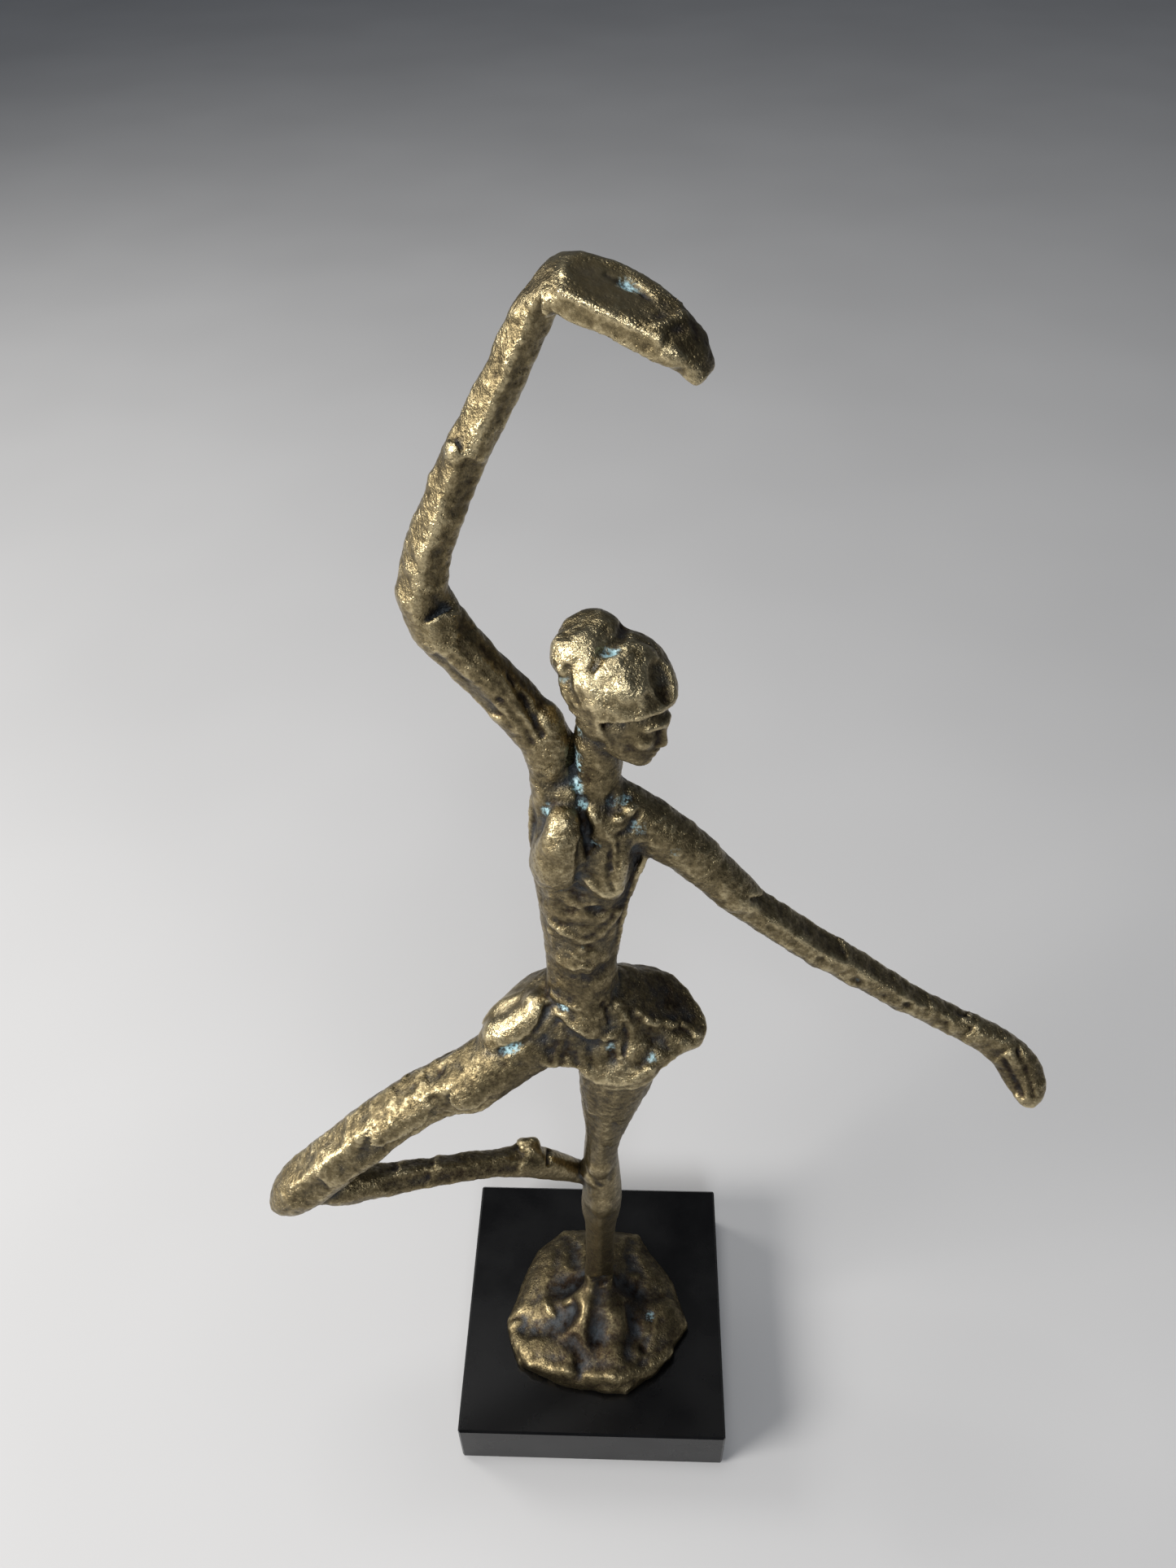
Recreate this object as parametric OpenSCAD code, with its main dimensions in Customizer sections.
// Bronze dancer statuette on a square black plinth.
// The figure is assembled from cast sections that meet on flat joint faces. Hidden pins locate them.
// Millimetres. The origin is the centre of the rest face, +Z is up and -Y is the front.

/* [Plinth] */
// Side of the square plinth
plinth_side = 100; // [90:1:120]
// Height of the plinth
plinth_height = 25; // [20:1:35]
// Width of the chamfer round the plinth's edges
plinth_chamfer = 0.8; // [0.4:0.1:2]
// Thickness of the felt pad under the plinth
felt_thickness = 1; // [0.5:0.1:2]
// How far the felt stops short of the plinth's sides
felt_margin = 2; // [1:0.5:5]

/* [Anchor] */
// Diameter of the threaded stud that holds the figure to the plinth
stud_d = 6; // [5:0.5:6]
// How far the stud reaches up into the rock
stud_grip = 9; // [6:0.5:10]
// Diameter of the counterbore under the plinth
counterbore_d = 22; // [20:1:30]
// Depth of the counterbore
counterbore_depth = 11; // [9:0.5:13]
// Outer diameter of the washer
washer_d = 18; // [14:0.5:19]
// Thickness of the washer
washer_t = 1.6; // [1:0.1:2]
// Width of the nut across its flats
nut_flats = 10; // [9:0.5:12]
// Thickness of the nut
nut_t = 5; // [4:0.1:6]

/* [Castings] */
// Corners of each limb's cross-section
ring_sides = 16; // [12:2:18]
// Cross-sections drawn from one station to the next
ring_steps = 3; // [2:1:4]

/* [Joint pins] */
// Diameter of the pins in the body and leg joints
body_pin_d = 6; // [4:0.5:6]
// Length of the pins in the body and leg joints
body_pin_length = 14; // [10:1:16]
// Diameter of the pins in the arm, neck and shin joints
limb_pin_d = 3; // [2:0.5:3]
// Length of the pins in the arm, neck and shin joints
limb_pin_length = 9; // [6:1:10]

/* [Hidden] */

// Radial gap round a pin or stud in its hole
pin_gap = 0.05;
// Gap left at each end of a pin in its hole
pin_end_gap = 0.4;
// How far a cutter runs past the face it opens
cut = 0.1;
figure_z = felt_thickness + plinth_height;
counterbore_top = felt_thickness + counterbore_depth;

// A station is [x, y, z, half width, half depth, turn]. Heights are above the plinth's top.
BODY = [
    [-1.5, 1, 184, 11, 9, 0],
    [-1.5, 1, 196, 10.6, 9, 0],
    [-1.5, 1, 207, 10, 8.2, 0],
    [-1.5, 1, 217, 10, 7.8, 0],
    [-1, 1, 227, 10.8, 8.2, 0],
    [-0.8, 1, 238, 11.7, 8.6, 0],
    [0, 1, 250, 13.4, 8.8, 0],
    [1, 1, 261, 14.4, 8.8, 0],
    [2, 1, 271, 13.6, 8.2, 0],
    [2.5, 1, 280, 10, 7.2, 0],
    [3, 1, 286, 6.4, 6, 0],
    [3.5, 1, 291, 5.4, 5.4, 0],
    [4.5, 0.5, 298, 5.2, 5.4, 0],
    [6, 0, 305, 5.6, 6, 0],
];
RAISED_ARM = [
    [-5, 1, 270, 7, 7, 0],
    [-8, 1, 283, 4.6, 6.2, 0],
    [-9, 1, 294, 4.6, 6, 0],
    [-12.5, 1, 304, 6, 6, 0],
    [-19, 0.5, 313.5, 6.1, 5.8, 0],
    [-25.5, 0, 323, 6.1, 5.8, 0],
    [-31, 0, 332, 6.2, 5.8, 0],
    [-33, 0, 340, 5.4, 5.7, 0],
    [-31, 0, 350, 4.9, 5.3, 0],
    [-26.5, 0, 360.5, 4.6, 5, 0],
    [-21.8, 0, 371, 4.5, 4.8, 0],
    [-17.4, 0, 379, 4.2, 4.5, 0],
    [-13, 0, 387, 4, 4.6, 0],
    [-9, 0, 395, 3.9, 5, 0],
    [-5.5, 0, 401.5, 3.6, 6, 0],
    [-1, -1, 406, 2.8, 6.8, 10],
    [5, -2, 405, 2.8, 7, 18],
    [12, -4, 402.5, 2.8, 7, 20],
    [18, -6, 398.5, 3, 6.6, 20],
    [22, -7, 394.8, 2.8, 5.6, 20],
    [24.5, -8, 391, 1.6, 3.6, 20],
];
LOWERED_ARM = [
    [7, 0.5, 277, 7.2, 6.6, 0],
    [13, 0, 273, 7.2, 6.4, 0],
    [20, 0, 267, 7.2, 6.2, 0],
    [27.5, 0, 260.5, 6.4, 5.8, 0],
    [35.5, 0, 251, 5.8, 5.4, 0],
    [46, 0, 239, 5.4, 5.2, 0],
    [57, 0, 229, 5.8, 5.2, 0],
    [70, 0, 218.5, 6, 5, 0],
    [84.5, 0, 207, 4.9, 4.6, 0],
    [98, 0, 197, 4.4, 4.2, 0],
    [111, -1, 189.5, 4.4, 4.2, 0],
    [121, -3, 184, 4.9, 4.4, 0],
    [128.5, -6, 176.5, 6.2, 3.8, 0],
    [131.5, -9.5, 170, 5.2, 3.2, 0],
    [132, -12, 165.5, 1.8, 1.8, 0],
];
THIGH = [
    [-4, 0, 190, 7, 7.5, 0],
    [-15, -3.5, 186, 9.4, 10, 0],
    [-24.5, -7, 181.5, 9, 10.4, 0],
    [-34.5, -10, 176.5, 8.4, 9.7, 0],
    [-47, -14, 170.5, 8.2, 9.3, 0],
    [-60, -18, 162.5, 8.1, 9.3, 0],
    [-73, -22, 151.5, 8.3, 9.2, 0],
    [-85, -25.5, 141, 8.2, 8.8, 0],
    [-93, -27.5, 133, 6.8, 7.4, 0],
    [-98, -28.5, 127.5, 3.2, 3.6, 0],
];
SHIN = [
    [-86, -26, 134.5, 5, 5, 0],
    [-78, -24, 131, 5.6, 5.6, 0],
    [-70, -21, 129, 5.4, 5.4, 0],
    [-58, -17, 126.5, 5, 5, 0],
    [-44, -12, 123, 4.5, 4.6, 0],
    [-31, -7, 118, 4.4, 4.6, 0],
    [-20, -3, 112.5, 6, 5, 0],
    [-12, 0, 104.5, 5.2, 4.6, 0],
    [-7, 2, 99, 4.4, 4, 0],
    [0, 4, 92, 3.6, 3.4, 0],
];
LEG = [
    [8, 0.5, 190, 8, 7.5, 0],
    [9.4, 0.5, 176, 11.6, 10.4, 0],
    [8.8, 0.5, 164, 12, 10.4, 0],
    [7.2, 0.5, 152, 10.2, 9.8, 0],
    [6, 1, 141, 8.6, 8.8, 0],
    [4.8, 1, 129, 6.4, 7.8, 0],
    [3.4, 1.5, 115, 5.6, 6.8, 0],
    [3.3, 2, 100, 6.4, 7, 0],
    [3.6, 2, 87, 6.8, 7.2, 0],
    [3, 2, 75, 7, 7, 0],
    [2.8, 2, 63, 5.6, 6, 0],
    [2.5, 2, 50, 5.3, 5.6, 0],
    [2.3, 1.5, 37, 5.2, 5.6, 0],
    [2, 1, 28, 5.4, 6, 0],
    [1.5, 0, 18, 6.4, 7.5, 0],
    [1, -2, 8, 8, 9, 0],
];
FOOT = [
    [1.5, 1, 20, 6, 5, 0],
    [0.5, -6, 16, 6.4, 5, 0],
    [-2, -14, 11, 6.4, 4, 0],
    [-4, -21, 8, 4.6, 2.6, 0],
];

// Stations at which the sections meet
WAIST = 2;
NECK = 11;
RAISED_SHOULDER = 3;
RAISED_SEAM = 10;
LOWERED_SHOULDER = 2;
LOWERED_WRIST = 10;
THIGH_ROOT = 3;
KNEE = 1;
TOES = 8;
LEG_TOP = 2;
ANKLE = 13;

// The skirt's hem, anticlockwise from the right
HEM = [
    [36, -1, 185.5], [32, 8, 191], [22, 15, 194], [8, 17, 193], [-6, 16, 192], [-18, 11, 195],
    [-28, 2, 193.5], [-29, -8, 192], [-22, -14.5, 190], [-11, -15, 187], [-3, -14, 185],
    [6, -15.5, 177], [16, -15.5, 178], [26, -9.5, 184],
];
// The skirt's rings, from underneath, round the hem and up to the waist.
// Each is [share of the way out, share of the drop, lift].
FLARE = [
    [0.2, 0.85, -3], [0.6, 0.9, -2.5], [0.95, 1, -2.4], [1, 1, -0.6],
    [0.93, 0.96, 0.6], [0.7, 0.74, 0.8], [0.4, 0.4, 0.6], [0.15, 0.12, 0], [0, 0, 0],
];
SKIRT_TOP = [-1.5, 1, 206, 9.4, 7.6];

// The rock's outline, anticlockwise from the right, and its levels: [share of the outline, height]
ROCK = [
    [37, -10], [32, 4], [25, 14], [18, 27], [2, 29], [-14, 28], [-24, 19], [-29, 4],
    [-34.5, -10], [-29, -26], [-13, -32.5], [2, -35], [13, -36], [24, -28],
];
ROCK_LEVELS = [[0.96, 0], [1, 2.5], [0.985, 5], [0.84, 9], [0.6, 12], [0.35, 14.5], [0.12, 16]];

function unit(v) = v / norm(v);
function place(s) = [s[0], s[1], s[2]];
// A point at share t from b to c, on the smooth curve through a, b, c and d
function between(a, b, c, d, t) =
    0.5 * (2 * b + (c - a) * t + (2 * a - 5 * b + 4 * c - d) * t * t
        + (3 * b - a - 3 * c + d) * t * t * t);
function smooth(path) = concat(
    [for (i = [0:len(path) - 2]) for (k = [0:ring_steps - 1])
        between(path[max(i - 1, 0)], path[i], path[i + 1], path[min(i + 2, len(path) - 1)],
            k / ring_steps)],
    [path[len(path) - 1]]);
function smooth_loop(loop) =
    let (n = len(loop))
    [for (i = [0:n - 1]) for (k = [0:ring_steps - 1])
        between(loop[(i + n - 1) % n], loop[i], loop[(i + 1) % n], loop[(i + 2) % n],
            k / ring_steps)];
function heading(f, i) = unit(place(f[min(i + 1, len(f) - 1)]) - place(f[max(i - 1, 0)]));
function ring(f, i) =
    let (
        t = heading(f, i),
        side = unit(cross([0, 1, 0], t)),
        front = cross(t, side),
        w = cos(f[i][5]) * side + sin(f[i][5]) * front,
        d = cross(t, w)
    )
    [for (k = [0:ring_sides - 1])
        let (a = 360 * k / ring_sides)
        place(f[i]) + f[i][3] * cos(a) * w + f[i][4] * sin(a) * d];
function mix(a, b, t) = a * (1 - t) + b * t;

// A closed skin over rings that all have the same number of points
module skin(rings) {
    n = len(rings[0]);
    m = len(rings);
    polyhedron(
        points = [for (r = rings) each r],
        faces = concat(
            [[for (k = [0:n - 1]) k]],
            [for (i = [0:m - 2]) for (k = [0:n - 1])
                [i * n + k, (i + 1) * n + k, (i + 1) * n + (k + 1) % n]],
            [for (i = [0:m - 2]) for (k = [0:n - 1])
                [i * n + k, (i + 1) * n + (k + 1) % n, i * n + (k + 1) % n]],
            [[for (k = [n - 1:-1:0]) (m - 1) * n + k]]),
        convexity = 6);
}

// The stretch of a limb from one station to another
module limb(path, first, last) {
    f = smooth(path);
    skin([for (i = [first * ring_steps:last * ring_steps]) ring(f, i)]);
}

// Joins free forms into one closed casting
module weld() {
    resize([0, 0, 0]) children();
}

module lump(at, radii, turn = [0, 0, 0]) {
    translate(at) rotate(turn) scale(radii) sphere(r = 1, $fn = 24);
}

// A cylinder centred on a limb's station and lying along the limb
module rod(path, station, d, length) {
    f = smooth(path);
    t = heading(f, station * ring_steps);
    translate(place(path[station]))
        rotate([0, acos(t[2]), atan2(t[1], t[0])])
            cylinder(h = length, d = d, center = true, $fn = 24);
}
module body_bore(path, station) {
    rod(path, station, body_pin_d + 2 * pin_gap, body_pin_length + 2 * pin_end_gap);
}
module limb_bore(path, station) {
    rod(path, station, limb_pin_d + 2 * pin_gap, limb_pin_length + 2 * pin_end_gap);
}

module felt_pad() {
    w = plinth_side - 2 * felt_margin;
    color("#1b1b1d")
        translate([-w / 2, -w / 2, 0]) cube([w, w, felt_thickness]);
}

module plinth() {
    half = plinth_side / 2;
    c = plinth_chamfer;
    color("#101012")
        translate([0, 0, felt_thickness])
            difference() {
                intersection() {
                    translate([-half, -half, 0]) cube([2 * half, 2 * half, plinth_height]);
                    bevelled_bar(half, c);
                    rotate([0, 0, 90]) bevelled_bar(half, c);
                    translate([0, 0, -cut])
                        linear_extrude(plinth_height + 2 * cut) polygon(cut_square(half, c));
                }
                translate([0, 0, -cut])
                    cylinder(h = counterbore_depth + cut, d = counterbore_d, $fn = 48);
                cylinder(h = plinth_height + cut, d = stud_d + 0.6, $fn = 48);
            }
}
// A square with its four corners cut off
function cut_square(half, c) = [
    [half - c, -half], [half, c - half], [half, half - c], [half - c, half],
    [c - half, half], [-half, half - c], [-half, c - half], [c - half, -half],
];
// A bar along Y whose four long edges are cut off
module bevelled_bar(half, c) {
    h = plinth_height;
    translate([0, half + cut, 0])
        rotate([90, 0, 0])
            linear_extrude(2 * half + 2 * cut)
                polygon([
                    [half - c, 0], [half, c], [half, h - c], [half - c, h],
                    [c - half, h], [-half, h - c], [-half, c], [c - half, 0],
                ]);
}

module anchor_stud() {
    low = counterbore_top - washer_t - nut_t - 2;
    color("#9a9da1")
        translate([0, 0, low]) cylinder(h = figure_z + stud_grip - low, d = stud_d, $fn = 48);
}

module anchor_washer() {
    color("#a9acb0")
        translate([0, 0, counterbore_top - washer_t])
            difference() {
                cylinder(h = washer_t, d = washer_d, $fn = 48);
                translate([0, 0, -cut]) cylinder(h = washer_t + 2 * cut, d = stud_d + 0.4, $fn = 48);
            }
}

module anchor_nut() {
    color("#a9acb0")
        translate([0, 0, counterbore_top - washer_t - nut_t])
            difference() {
                cylinder(h = nut_t, d = nut_flats / cos(30), $fn = 6);
                translate([0, 0, -cut])
                    cylinder(h = nut_t + 2 * cut, d = stud_d + 2 * pin_gap, $fn = 48);
            }
}

module rock_base() {
    color("#8a7550")
        translate([0, 0, figure_z])
            difference() {
                weld() {
                    skin([for (level = ROCK_LEVELS)
                        [for (p = ROCK) [p[0] * level[0], p[1] * level[0], level[1]]]]);
                    limb(LEG, ANKLE, len(LEG) - 1);
                    limb(FOOT, 0, len(FOOT) - 1);
                }
                translate([0, 0, -cut])
                    cylinder(h = stud_grip + pin_end_gap + cut, d = stud_d + 2 * pin_gap, $fn = 48);
                limb_bore(LEG, ANKLE);
            }
}

module standing_leg() {
    color("#8f7a52")
        translate([0, 0, figure_z])
            difference() {
                weld() {
                    limb(LEG, LEG_TOP, ANKLE);
                    limb(SHIN, TOES, len(SHIN) - 1);
                }
                body_bore(LEG, LEG_TOP);
                limb_bore(LEG, ANKLE);
                limb_bore(SHIN, TOES);
            }
}

module bent_thigh() {
    color("#a38c58")
        translate([0, 0, figure_z])
            difference() {
                weld() {
                    limb(THIGH, THIGH_ROOT, len(THIGH) - 1);
                    limb(SHIN, 0, KNEE);
                }
                body_bore(THIGH, THIGH_ROOT);
                limb_bore(SHIN, KNEE);
            }
}

module bent_shin() {
    color("#7c6243")
        translate([0, 0, figure_z])
            difference() {
                weld() {
                    limb(SHIN, KNEE, TOES);
                    lump([-21, -2, 117], [5.5, 3.6, 4.6], [0, 30, -20]);
                }
                limb_bore(SHIN, KNEE);
                limb_bore(SHIN, TOES);
            }
}

module skirt() {
    hem = smooth_loop(HEM);
    color("#9b8450")
        translate([0, 0, figure_z])
            difference() {
                weld() {
                    skin([for (level = FLARE) [for (h = hem) skirt_point(h, level)]]);
                    limb(BODY, 0, WAIST);
                    limb(THIGH, 0, THIGH_ROOT);
                    limb(LEG, 0, LEG_TOP);
                }
                body_bore(BODY, WAIST);
                body_bore(THIGH, THIGH_ROOT);
                body_bore(LEG, LEG_TOP);
            }
}
// A point between the waist and the hem point h
function skirt_point(h, level) =
    let (
        a = atan2(h[1] - SKIRT_TOP[1], h[0] - SKIRT_TOP[0]),
        top = place(SKIRT_TOP) + [SKIRT_TOP[3] * cos(a), SKIRT_TOP[4] * sin(a), 0]
    )
    [mix(top[0], h[0], level[0]), mix(top[1], h[1], level[0]), mix(top[2], h[2], level[1]) + level[2]];

module torso() {
    color("#957f50")
        translate([0, 0, figure_z])
            difference() {
                weld() {
                    limb(BODY, WAIST, NECK);
                    limb(RAISED_ARM, 0, RAISED_SHOULDER);
                    limb(LOWERED_ARM, 0, LOWERED_SHOULDER);
                    lump([-7, -7, 262], [6.2, 5, 8.6], [0, 8, 0]);
                    lump([6, -7.5, 258], [5, 4.4, 7.6], [0, -6, 0]);
                    lump([6.5, -5.5, 274], [6, 3.6, 5], [0, 35, 0]);
                }
                body_bore(BODY, WAIST);
                limb_bore(BODY, NECK);
                limb_bore(RAISED_ARM, RAISED_SHOULDER);
                limb_bore(LOWERED_ARM, LOWERED_SHOULDER);
            }
}

module head() {
    color("#a08a55")
        translate([0, 0, figure_z])
            difference() {
                weld() {
                    limb(BODY, NECK, len(BODY) - 1);
                    lump([9.6, 0.5, 313], [12.8, 11.8, 12.6], [0, 25, -15]);
                    lump([8.6, 1, 316], [13.4, 12.4, 10.4], [0, 20, -15]);
                    lump([14.2, -3, 303.5], [7.6, 7.4, 10.5], [0, -20, -15]);
                    lump([2.8, 7, 321.5], [8, 7.4, 7.4]);
                }
                limb_bore(BODY, NECK);
            }
}

module raised_arm() {
    color("#97814f")
        translate([0, 0, figure_z])
            difference() {
                weld() {
                    limb(RAISED_ARM, RAISED_SHOULDER, RAISED_SEAM);
                }
                limb_bore(RAISED_ARM, RAISED_SHOULDER);
                limb_bore(RAISED_ARM, RAISED_SEAM);
            }
}

module raised_hand() {
    color("#9c8652")
        translate([0, 0, figure_z])
            difference() {
                weld() {
                    limb(RAISED_ARM, RAISED_SEAM, len(RAISED_ARM) - 1);
                }
                limb_bore(RAISED_ARM, RAISED_SEAM);
            }
}

module lowered_arm() {
    color("#97814f")
        translate([0, 0, figure_z])
            difference() {
                weld() {
                    limb(LOWERED_ARM, LOWERED_SHOULDER, LOWERED_WRIST);
                }
                limb_bore(LOWERED_ARM, LOWERED_SHOULDER);
                limb_bore(LOWERED_ARM, LOWERED_WRIST);
            }
}

module lowered_hand() {
    color("#8c7648")
        translate([0, 0, figure_z])
            difference() {
                weld() {
                    limb(LOWERED_ARM, LOWERED_WRIST, len(LOWERED_ARM) - 1);
                }
                limb_bore(LOWERED_ARM, LOWERED_WRIST);
            }
}

module body_pins() {
    color("#8d9094")
        translate([0, 0, figure_z]) {
            rod(BODY, WAIST, body_pin_d, body_pin_length);
            rod(THIGH, THIGH_ROOT, body_pin_d, body_pin_length);
            rod(LEG, LEG_TOP, body_pin_d, body_pin_length);
        }
}

module limb_pins() {
    color("#8d9094")
        translate([0, 0, figure_z]) {
            rod(BODY, NECK, limb_pin_d, limb_pin_length);
            rod(RAISED_ARM, RAISED_SHOULDER, limb_pin_d, limb_pin_length);
            rod(RAISED_ARM, RAISED_SEAM, limb_pin_d, limb_pin_length);
            rod(LOWERED_ARM, LOWERED_SHOULDER, limb_pin_d, limb_pin_length);
            rod(LOWERED_ARM, LOWERED_WRIST, limb_pin_d, limb_pin_length);
            rod(SHIN, KNEE, limb_pin_d, limb_pin_length);
            rod(SHIN, TOES, limb_pin_d, limb_pin_length);
            rod(LEG, ANKLE, limb_pin_d, limb_pin_length);
        }
}

felt_pad();
plinth();
anchor_stud();
anchor_washer();
anchor_nut();
rock_base();
standing_leg();
bent_thigh();
bent_shin();
skirt();
torso();
head();
raised_arm();
raised_hand();
lowered_arm();
lowered_hand();
body_pins();
limb_pins();
